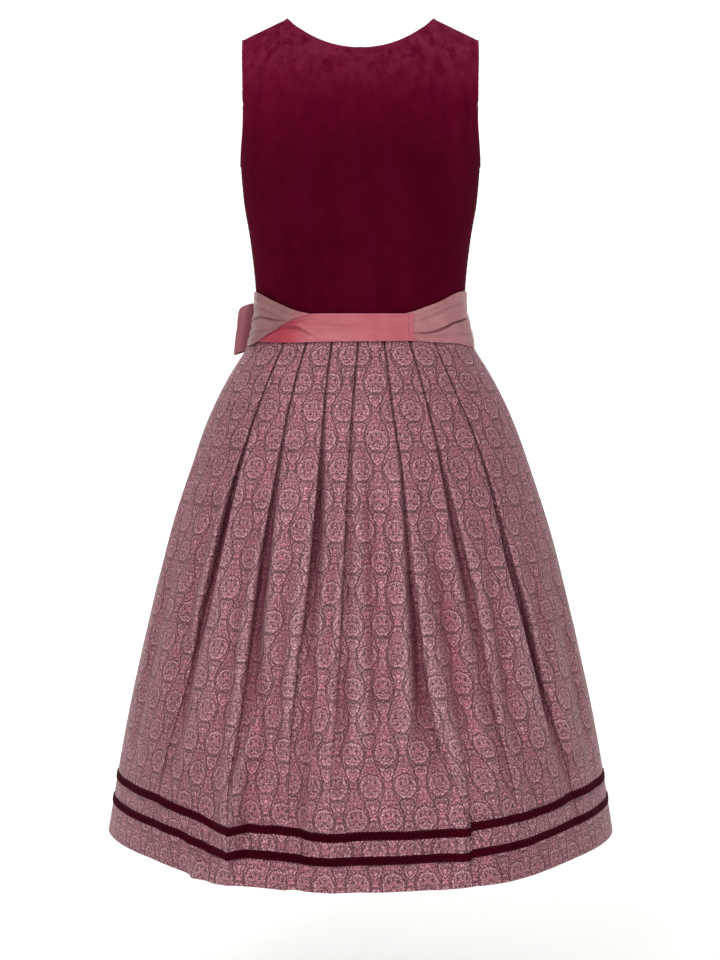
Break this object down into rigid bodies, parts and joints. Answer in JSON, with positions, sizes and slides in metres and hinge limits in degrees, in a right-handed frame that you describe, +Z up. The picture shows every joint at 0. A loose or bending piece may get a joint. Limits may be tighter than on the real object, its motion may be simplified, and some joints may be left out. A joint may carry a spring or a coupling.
{
  "type": "dirndl",
  "caption": "Sleeveless dirndl with a velvet bodice, a pleated jacquard skirt trimmed with velvet ribbon, and an apron whose satin ties are wound round the waist and tied in a bow.",
  "frame": {"origin": "midway between the two shoulder seams, where the wearer's shoulders carry the dress", "axes": "+Z up along the body; -Y out of the back of the dress, the side that the picture shows; +Y out of the front with the apron; +X the wearer's right"},
  "size_m": [0.6546, 0.5932, 1.038],
  "materials": {
    "velvet": "short-pile velvet",
    "jacquard": "satin damask weave",
    "velvet_ribbon": "velvet ribbon",
    "apron_satin": "soft satin",
    "coral_satin": "soft satin"
  },
  "bodies": {
    "root": {"bodice_back": "velvet", "bodice_side_back_left": "velvet", "bodice_side_back_right": "velvet", "bodice_side_front_left": "velvet", "bodice_side_front_right": "velvet", "bodice_front_left": "velvet", "bodice_front_right": "velvet", "skirt_back": "jacquard", "skirt_front": "jacquard", "ribbon_upper": "velvet_ribbon", "ribbon_lower": "velvet_ribbon", "apron_band": "apron_satin", "apron_panel": "apron_satin", "tie_right": "apron_satin", "tie_centre": "coral_satin", "tie_left": "apron_satin", "tie_front": "apron_satin", "bow_knot": "apron_satin", "bow_loop_side": "apron_satin", "bow_loop_front": "apron_satin", "bow_tail_outer": "apron_satin", "bow_tail_inner": "apron_satin"}
  },
  "joints": []
}
